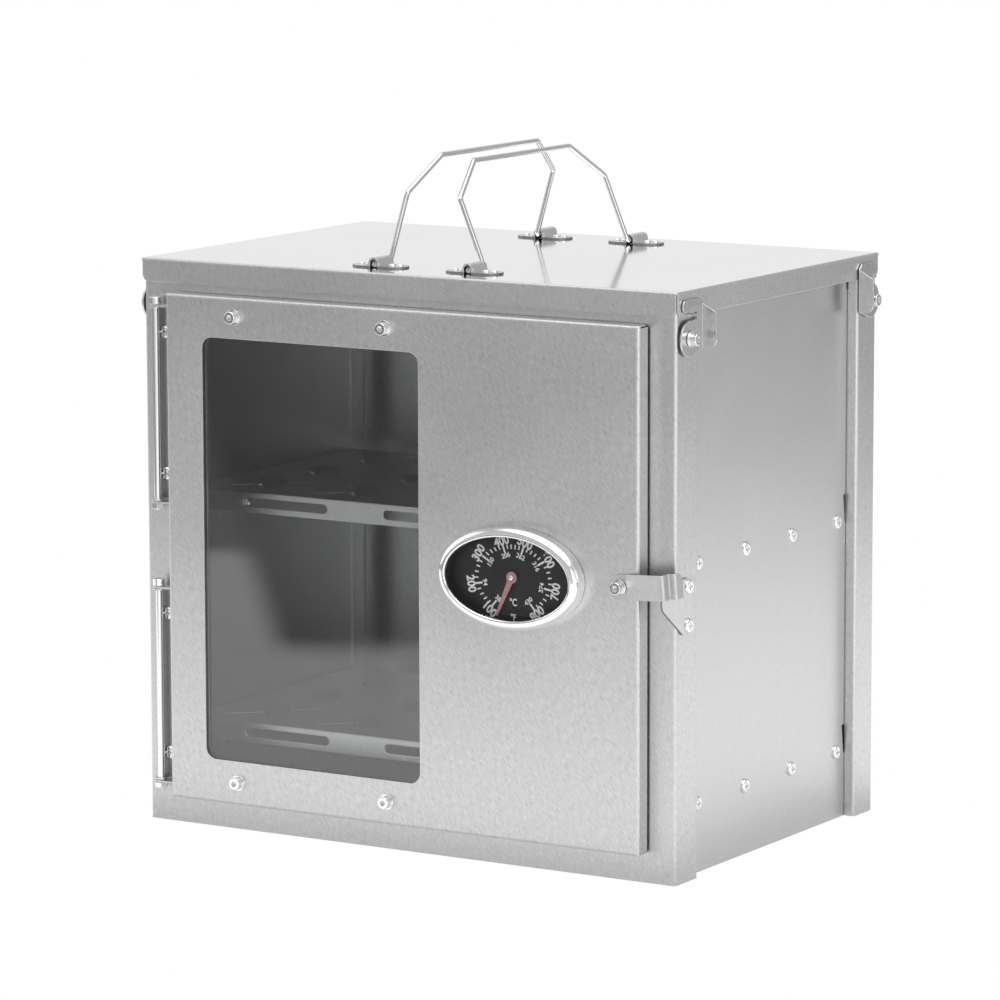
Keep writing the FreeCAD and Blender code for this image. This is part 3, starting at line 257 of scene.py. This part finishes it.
BELT = {"length": 4.5, "width": 0.55}
STRIP = {"length": 6.0, "width": 0.7}
door_steel = bare_metal("brushed_door_sheet", 0.63, 0.34, contrast=0.17, bump=0.35, **BELT)
casing_steel = bare_metal("brushed_casing_sheet", 0.63, 0.34, contrast=0.15, bump=0.3, **BELT)
side_steel = bare_metal("satin_side_sheet", 0.63, 0.34, length=6.0, width=0.8, contrast=0.04, bump=0.05)
lid_steel = bare_metal("polished_lid_sheet", 0.9, 0.09, length=14.0, contrast=0.02, bump=0.004)
# The rack's edges get a wider and stronger lightening, partly wear and partly a painted highlight.
rack_steel = bare_metal("rack_sheet", 0.68, 0.42, length=6.0, contrast=0.08,
                        wear_and_highlight_gain=1.5, edge_radius=0.9 * MM)
latch_steel = bare_metal("latch_strip", 0.56, 0.42, contrast=0.10, bump=0.2, **STRIP)
fitting_steel = bare_metal("brushed_strip", 0.62, 0.28, contrast=0.10, bump=0.2, **STRIP)
wire_steel = bare_metal("drawn_wire", 0.68, 0.1, angle=0.0, length=12.0, contrast=0.06)
screw_steel = bare_metal("turned_screw", 0.85, 0.1, angle=0.0, length=1.0, width=0.2, contrast=0.06)
chrome = bare_metal("polished_ring", 0.9, 0.09, length=3.0, width=0.3, contrast=0.03)
# A dark colour for the rim faces of the keeper plate and the bail clips.
dark_rim_steel = bare_metal("dark_rim_edge", 0.24, 0.5, length=1.0, width=0.2, contrast=0.2)
print("metals", len(bpy.data.materials))

# %% [markdown]
# The window is a thick pane of clear heat-proof glass. Glass needs plain transmission and a
# tint, and only its roughness varies, with the faint film that wiping leaves.


# %% Glass
def glass(name, tint, ior, film):
    material = bpy.data.materials.new(name)
    material.use_nodes = True
    tree = material.node_tree
    shader = tree.nodes["Principled BSDF"]
    spot = add(tree, "ShaderNodeTexCoord").outputs["Object"]
    smears = add(tree, "ShaderNodeTexNoise", {"Vector": spot, "Scale": 30.0, "Detail": 4.0})
    rough = span(tree, smears.outputs["Fac"], 0.35, 0.75, 0.0, film)
    tree.links.new(rough, shader.inputs["Roughness"])
    shader.inputs["Base Color"].default_value = tint
    shader.inputs["Transmission Weight"].default_value = 1.0
    shader.inputs["IOR"].default_value = ior
    return material


window_glass = glass("oven_pane", (0.94, 0.95, 0.95, 1.0), 1.72, 0.05)
lens_glass = glass("clear_lens", (0.98, 0.99, 0.99, 1.0), 1.3, 0.02)
print("glass", window_glass.name, lens_glass.name)

# %% [markdown]
# The gasket is woven fibre tape, the gauge's case is black inside, its dial is matt black
# paint and its pointer is dusty red enamel. Each is a plain coat with its own texture: a
# weave of two crossing waves, or the orange peel and specks of sprayed paint.


# %% Paint and gasket
PEEL_DEPTH = 0.1 * MM


def paint(name, colour, roughness, speck, peel=900.0):
    material = bpy.data.materials.new(name)
    material.use_nodes = True
    tree = material.node_tree
    shader = tree.nodes["Principled BSDF"]
    spot = add(tree, "ShaderNodeTexCoord").outputs["Object"]
    dust = add(tree, "ShaderNodeTexNoise", {"Vector": spot, "Scale": peel, "Detail": 3.0}).outputs["Fac"]
    low = tuple(c * (1 - speck) for c in colour[:3]) + (1.0,)
    high = tuple(min(1.0, c * (1 + speck)) for c in colour[:3]) + (1.0,)
    mixed = add(tree, "ShaderNodeMix", {0: dust, 6: low, 7: high}, data_type="RGBA")
    rough = span(tree, dust, 0.3, 0.7, roughness * 0.85, roughness * 1.15)
    peeled = add(tree, "ShaderNodeBump", {"Strength": 0.15, "Distance": PEEL_DEPTH, "Height": dust})
    tree.links.new(mixed.outputs[2], shader.inputs["Base Color"])
    tree.links.new(rough, shader.inputs["Roughness"])
    tree.links.new(peeled.outputs[0], shader.inputs["Normal"])
    return material


def woven_tape(name, colour, threads_per_metre):
    material = paint(name, colour, 0.9, 0.35, peel=2500.0)
    tree = material.node_tree
    spot = add(tree, "ShaderNodeTexCoord").outputs["Object"]
    waves = [add(tree, "ShaderNodeTexWave", {"Vector": spot, "Scale": threads_per_metre / 20},
                 bands_direction=axis).outputs["Fac"] for axis in ("X", "Z")]
    bump = tree.nodes["Principled BSDF"].inputs["Normal"].links[0].from_node
    tree.links.new(calc(tree, "MAXIMUM", waves[0], waves[1]), bump.inputs["Height"])
    bump.inputs["Strength"].default_value = 0.6
    return material


gasket_tape = woven_tape("fibre_tape", (0.06, 0.06, 0.06, 1.0), 900.0)
dial_paint = paint("dial_paint", (0.012, 0.012, 0.013, 1.0), 0.55, 0.3)
case_paint = paint("case_paint", (0.03, 0.03, 0.03, 1.0), 0.5, 0.3)
pointer_paint = paint("pointer_enamel", (0.52, 0.27, 0.27, 1.0), 0.5, 0.12)
print_paint = paint("dial_print", (0.85, 0.85, 0.84, 1.0), 0.6, 0.04)
print("paints", [m.name for m in (gasket_tape, dial_paint, case_paint, pointer_paint, print_paint)])

# %% [markdown]
# Now each CAD part gets its finish. The record names a material slot for every part, and the
# few parts whose sheet is brushed in their own way are named one by one.

# %% Finishes of the CAD parts
finish_of_slot = {
    "stainless_sheet": casing_steel, "lid_polished": lid_steel, "bright_fittings": fitting_steel,
    "bright_wire": wire_steel, "fasteners": screw_steel, "oven_glass": window_glass,
    "gasket": gasket_tape, "gauge_chrome": chrome, "gauge_case": case_paint,
    "gauge_glass": lens_glass, "dial_black": dial_paint, "pointer_red": pointer_paint}
finish_of_node = {
    "door_panel": door_steel, "side_panel_left": side_steel, "side_panel_right": side_steel,
    "rack_upper": rack_steel, "rack_lower": rack_steel, "door_latch": latch_steel}


def dress(node, material):
    mesh = nodes[node].data
    mesh.materials.clear()
    mesh.materials.append(material)


for part in frame["record"]["subparts"]:
    dress(part["node"], finish_of_node.get(part["node"], finish_of_slot[part["material_slot"]]))

# %% [markdown]
# Only the top of the lid is polished. Its turned-down edges are brushed like the casing, so
# the lid has two finishes, and each face takes one by the way it looks.

# %% Two finishes on the lid
lid = nodes["lid_cover"].data
lid.materials.append(casing_steel)
for face in lid.polygons:
    face.material_index = 0 if face.normal.z > 0.9 else 1
print("polished faces", sum(face.material_index == 0 for face in lid.polygons), "of", len(lid.polygons))

# %% [markdown]
# The keeper plate and the bail clips are small laser-cut pieces whose rims are coloured dark.
# Their rim faces are the upright ones at the plate's own thickness.

# %% Dark rims of the small plates
CLIP_RIM = 3.2 * MM


def darken_rim(node, is_rim):
    mesh = nodes[node].data
    mesh.materials.append(dark_rim_steel)
    rim = [face for face in mesh.polygons if is_rim(face)]
    for face in rim:
        face.material_index = 1
    return len(rim)


plate_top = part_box("handle_clip_rivets")[0].z + CLIP_RIM
keeper_faces = darken_rim("keeper_plate", lambda face: abs(face.normal.x) < 0.5)
for end in ("front", "back"):
    for hand in ("left", "right"):
        clip = "handle_clip_%s_%s" % (end, hand)
        darken_rim(clip, lambda face: abs(face.normal.z) < 0.2 and face.center.z < plate_top)
print("keeper rim faces", keeper_faces)

# %% [markdown]
# The dial is screen printed in white: a scale of short and long ticks on an oval, large
# numbers outside it and small ones inside. The ticks are thin solid bars and the numbers are
# text turned into meshes, all joined into two pieces that lie on the dial's face.

# %% Where the dial is
PRINT_DEPTH = 0.06 * MM
PRINT_SHIFT = Vector((0.5 * MM, 0, -1.1 * MM))
dial_low, dial_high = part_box("gauge_dial")
hub = (dial_low + dial_high) / 2
dial_centre = hub + PRINT_SHIFT
dial_face = dial_low.y
SCALE_START = math.radians(40.65)
SCALE_SWEEP = math.radians(278.7)
FIRST_VALUE, LAST_VALUE, VALUE_STEP = 100, 800, 100


def scale_angle(value):
    return SCALE_START + SCALE_SWEEP * (value - FIRST_VALUE) / (LAST_VALUE - FIRST_VALUE)


def on_oval(angle, half_width, half_height):
    reach = 1 / math.hypot(math.sin(angle) / half_width, math.cos(angle) / half_height)
    return Vector((-math.sin(angle) * reach, 0, -math.cos(angle) * reach))


print("dial centre", [round(c, 4) for c in dial_centre])

# %% [markdown]
# The ticks all begin on one oval and point at its middle. A long tick marks each number, and
# four short ones divide the way to the next.

# %% Ticks
MINOR_STEPS = 5
TICK_OVAL = (24.9 * MM, 19.4 * MM)
LONG_TICK = (4.6 * MM, 1.1 * MM)
SHORT_TICK = (2.4 * MM, 0.8 * MM)


def tick(bm, angle, length, width):
    outer = on_oval(angle, *TICK_OVAL)
    inward = Vector((math.sin(angle), 0, math.cos(angle)))
    side = Vector((-inward.z, 0, inward.x)) * width / 2
    corners = [outer + side, outer - side, outer + inward * length - side, outer + inward * length + side]
    base = Vector((dial_centre.x, dial_face, dial_centre.z))
    back = [bm.verts.new(base + corner) for corner in corners]
    front = [bm.verts.new(base + corner - Vector((0, PRINT_DEPTH, 0))) for corner in corners]
    bm.faces.new(front)
    bm.faces.new(back[::-1])
    for i in range(4):
        j = (i + 1) % 4
        bm.faces.new((front[j], front[i], back[i], back[j]))


def finished(name, bm, material, body):
    bmesh.ops.recalc_face_normals(bm, faces=bm.faces)
    mesh = bpy.data.meshes.new(name)
    bm.to_mesh(mesh)
    bm.free()
    mesh.materials.append(material)
    piece = bpy.data.objects.new(name, mesh)
    bpy.context.scene.collection.objects.link(piece)
    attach(piece, body)
    return piece


tick_mesh = bmesh.new()
tick_count = (LAST_VALUE - FIRST_VALUE) // VALUE_STEP * MINOR_STEPS + 1
for count in range(tick_count):
    angle = scale_angle(FIRST_VALUE + count * VALUE_STEP / MINOR_STEPS)
    tick(tick_mesh, angle, *(SHORT_TICK if count % MINOR_STEPS else LONG_TICK))
finished("dial_ticks", tick_mesh, print_paint, "door")
print("ticks", tick_count)

# %% [markdown]
# The numbers stand round the scale with their feet towards the hub, and the two at the
# bottom are turned over so that they stand upright. Each is a text, a little bolder than
# its font, that becomes a thin mesh.

# %% Numbers
CELSIUS = (38, 94, 150, 206, 262, 316, 374, 430)
LARGE_OVAL = (27.9 * MM, 21.5 * MM)
SMALL_OVAL = (18.7 * MM, 13.4 * MM)
LARGE_SIZE, SMALL_SIZE = 7.0 * MM, 3.8 * MM
UNITS = (("°C", -12.9 * MM, 5.6 * MM), ("°F", -21.3 * MM, 5.0 * MM))
UPRIGHT = Matrix(((1, 0, 0), (0, 0, -1), (0, 1, 0))).to_4x4()


def lettering(bm, words, spot, size, turn, squeeze=1.0, weight=0.022):
    text = bpy.data.curves.new("words", "FONT")
    text.body = words
    text.align_x = "CENTER"
    text.align_y = "CENTER"
    text.size = size
    text.offset = size * weight
    text.extrude = PRINT_DEPTH / 2
    holder = bpy.data.objects.new("words", text)
    bpy.context.scene.collection.objects.link(holder)
    mesh = bpy.data.meshes.new_from_object(holder.evaluated_get(bpy.context.evaluated_depsgraph_get()))
    lay = Matrix.Translation(Vector((dial_centre.x, dial_face - PRINT_DEPTH / 2, dial_centre.z)) + spot)
    mesh.transform(lay @ UPRIGHT @ Matrix.Rotation(turn, 4, "Z") @ Matrix.Diagonal((squeeze, 1, 1, 1)))
    bm.from_mesh(mesh)
    bpy.data.objects.remove(holder)
    bpy.data.meshes.remove(mesh)


def number_turn(angle):
    lean = math.pi - angle
    return lean if math.cos(angle) < 0.1 else lean + math.pi


number_mesh = bmesh.new()
for value, small in zip(range(FIRST_VALUE, LAST_VALUE + 1, VALUE_STEP), CELSIUS):
    angle = scale_angle(value)
    large_spot, small_spot = on_oval(angle, *LARGE_OVAL), on_oval(angle, *SMALL_OVAL)
    lettering(number_mesh, str(value), large_spot, LARGE_SIZE, number_turn(angle), squeeze=0.92, weight=0.034)
    lettering(number_mesh, str(small), small_spot, SMALL_SIZE, number_turn(angle))
for words, drop, size in UNITS:
    lettering(number_mesh, words, Vector((0, 0, drop)), size, 0, squeeze=0.8)
numbers = finished("dial_numbers", number_mesh, print_paint, "door")
print("numbers", len(CELSIUS) * 2, "faces", len(numbers.data.polygons))

# %% [markdown]
# A bright little rivet holds the pointer on its spindle. It is turned, so a profile spun
# about the spindle's axis gives its dome in a few points.

# %% Pointer rivet
RIVET_PROFILE = ((1.5, 0.0), (1.45, 0.25), (1.15, 0.5), (0.6, 0.62), (0.0, 0.66))
RIVET_SINK = 0.05 * MM
RIVET_STEPS = 32
rivet_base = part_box("gauge_pointer")[0].y + RIVET_SINK
rivet_mesh = bmesh.new()
dome = [rivet_mesh.verts.new((hub.x + r * MM, rivet_base - d * MM, hub.z)) for r, d in RIVET_PROFILE]
for first, second in zip(dome, dome[1:]):
    rivet_mesh.edges.new((first, second))
profile = list(rivet_mesh.verts) + list(rivet_mesh.edges)
bmesh.ops.spin(rivet_mesh, geom=profile, cent=hub, axis=(0, 1, 0), angle=2 * math.pi,
               steps=RIVET_STEPS, use_merge=True)
bmesh.ops.remove_doubles(rivet_mesh, verts=rivet_mesh.verts, dist=0.01 * MM)
rivet = finished("pointer_rivet", rivet_mesh, screw_steel, "pointer")
print("rivet", len(rivet.data.polygons), "faces")

# %% [markdown]
# The light is a plain white studio. The camera sees a white floor and backdrop, as in the
# photograph. What the steel mirrors is softer: a sheet of white paper lies under the oven and
# ends a metre in front of it, where a dark equipment case stands. The room is grey, and a
# wide lamp hangs over the oven. This is what makes the sheet darker at its top and brighter
# towards the floor, and what puts the dark rounded shape into the window.

# %% Floor
WHITE = (1.0, 1.0, 1.0, 1.0)
FLOOR_HALF = 5.0
FLOOR_DROP = 0.3 * MM
AWAY = (-math.sin(CAMERA_TURN), -math.cos(CAMERA_TURN), 0)
ASIDE = (-math.cos(CAMERA_TURN), math.sin(CAMERA_TURN), 0)
PAPER_BRIGHT, PAPER_FRONT_DIM = 1.2, 0.98
FAR_LEFT, FAR_RIGHT = 0.7, 0.36
CASE_DARK, CASE_LEAN, CASE_EDGE = 0.19, 0.1, -0.048
SHADE_DEEP, SHADE_REACH = 0.62, 0.1
floor_material = bpy.data.materials.new("floor_white")
floor_material.use_nodes = True
tree = floor_material.node_tree
tree.nodes.clear()
spot = add(tree, "ShaderNodeTexCoord").outputs["Object"]
away = vector_math(tree, "DOT_PRODUCT", spot, AWAY)["Value"]
aside = vector_math(tree, "DOT_PRODUCT", spot, ASIDE)["Value"]
near = soft_step(tree, away, 1.1, 1.2, 1.0, 0.0)
behind = soft_step(tree, away, -1.6, -1.0, 0.0, 1.0)
beside = soft_step(tree, aside, 1.1, 1.5, 1.0, 0.0)
paper = calc(tree, "MULTIPLY", calc(tree, "MULTIPLY", near, behind), beside)
case_left = calc(tree, "MULTIPLY_ADD", away, CASE_LEAN, CASE_EDGE)
case_side = soft_step(tree, calc(tree, "SUBTRACT", aside, case_left), -0.015, 0.015, 1.0, 0.0)
case_front = soft_step(tree, away, 0.7, 0.8, 0.0, 1.0)
case_right = soft_step(tree, aside, -0.34, -0.2, 0.0, 1.0)
case = calc(tree, "MULTIPLY", calc(tree, "MULTIPLY", case_side, case_front), case_right)
half_size = (cad_box[1] - cad_box[0]) / 2
outside = vector_math(tree, "ABSOLUTE", spot)[0]
outside = vector_math(tree, "SUBTRACT", outside, (half_size.x, half_size.y, 1))[0]
outside = vector_math(tree, "MAXIMUM", outside)[0]
gap = vector_math(tree, "LENGTH", outside)["Value"]
front_dim = soft_step(tree, away, 0.0, 0.3, 1.0, PAPER_FRONT_DIM)
shade = calc(tree, "MULTIPLY", soft_step(tree, gap, 0.0, SHADE_REACH, SHADE_DEEP, 1.0), front_dim)
far = soft_step(tree, aside, -0.7, 0.0, FAR_LEFT, FAR_RIGHT)
level = mix(tree, paper, far, PAPER_BRIGHT)
level = mix(tree, case, level, CASE_DARK)
seen = add(tree, "ShaderNodeLightPath").outputs["Is Camera Ray"]
strength = mix(tree, seen, calc(tree, "MULTIPLY", level, shade), 1.0)
glow = add(tree, "ShaderNodeEmission", {"Color": WHITE, "Strength": strength})
tree.links.new(glow.outputs[0], add(tree, "ShaderNodeOutputMaterial").inputs[0])
floor_mesh = bpy.data.meshes.new("floor")
floor_corners = [(x * FLOOR_HALF, y * FLOOR_HALF, 0) for x, y in ((-1, -1), (1, -1), (1, 1), (-1, 1))]
floor_mesh.from_pydata(floor_corners, [], [(0, 1, 2, 3)])
floor_mesh.materials.append(floor_material)
floor = bpy.data.objects.new("floor", floor_mesh)
floor.location.z = cad_box[0].z - FLOOR_DROP
bpy.context.scene.collection.objects.link(floor)
print("floor at", round(floor.location.z, 5))

# %% [markdown]
# The room itself is a grey that falls a little with height. Three soft lamps are added by
# direction: each is full inside its first angle and gone at its second. A pale screen stands
# behind the oven, and the camera sees all of it as plain white.

# %% Room light
LAMPS = {
    "overhead": ((0.1, -0.2, 1.0), 22, 46, 2.2),
    "right": ((0.84, -0.515, 0.2), 8, 24, 2.0),
    "left": ((-0.95, -0.25, 0.35), 8, 26, 1.4)}
SCREEN_DIRECTION = (-math.sin(CAMERA_TURN), math.cos(CAMERA_TURN), 0.15)
SCREEN_LEVEL = 0.86
world = bpy.data.worlds.new("studio")
bpy.context.scene.world = world
world.use_nodes = True
tree = world.node_tree
tree.nodes.clear()
heading = add(tree, "ShaderNodeTexCoord").outputs["Generated"]
height = add(tree, "ShaderNodeSeparateXYZ", {0: heading}).outputs[2]
room = span(tree, height, 0.0, 0.6, 0.6, 0.5)


def toward(direction, full, none):
    aimed = vector_math(tree, "DOT_PRODUCT", heading, Vector(direction).normalized())["Value"]
    return soft_step(tree, aimed, math.cos(math.radians(none)), math.cos(math.radians(full)), 0.0, 1.0)


for direction, full, none, power in LAMPS.values():
    room = calc(tree, "MULTIPLY_ADD", toward(direction, full, none), power, room)
room = mix(tree, toward(SCREEN_DIRECTION, 24, 48), room, SCREEN_LEVEL)
seen = add(tree, "ShaderNodeLightPath").outputs["Is Camera Ray"]
strength = mix(tree, seen, room, 1.0)
back = add(tree, "ShaderNodeBackground", {"Color": WHITE, "Strength": strength})
tree.links.new(back.outputs[0], add(tree, "ShaderNodeOutputWorld").inputs[0])
bpy.context.scene.view_settings.view_transform = "Standard"
print("view", bpy.context.scene.view_settings.view_transform)
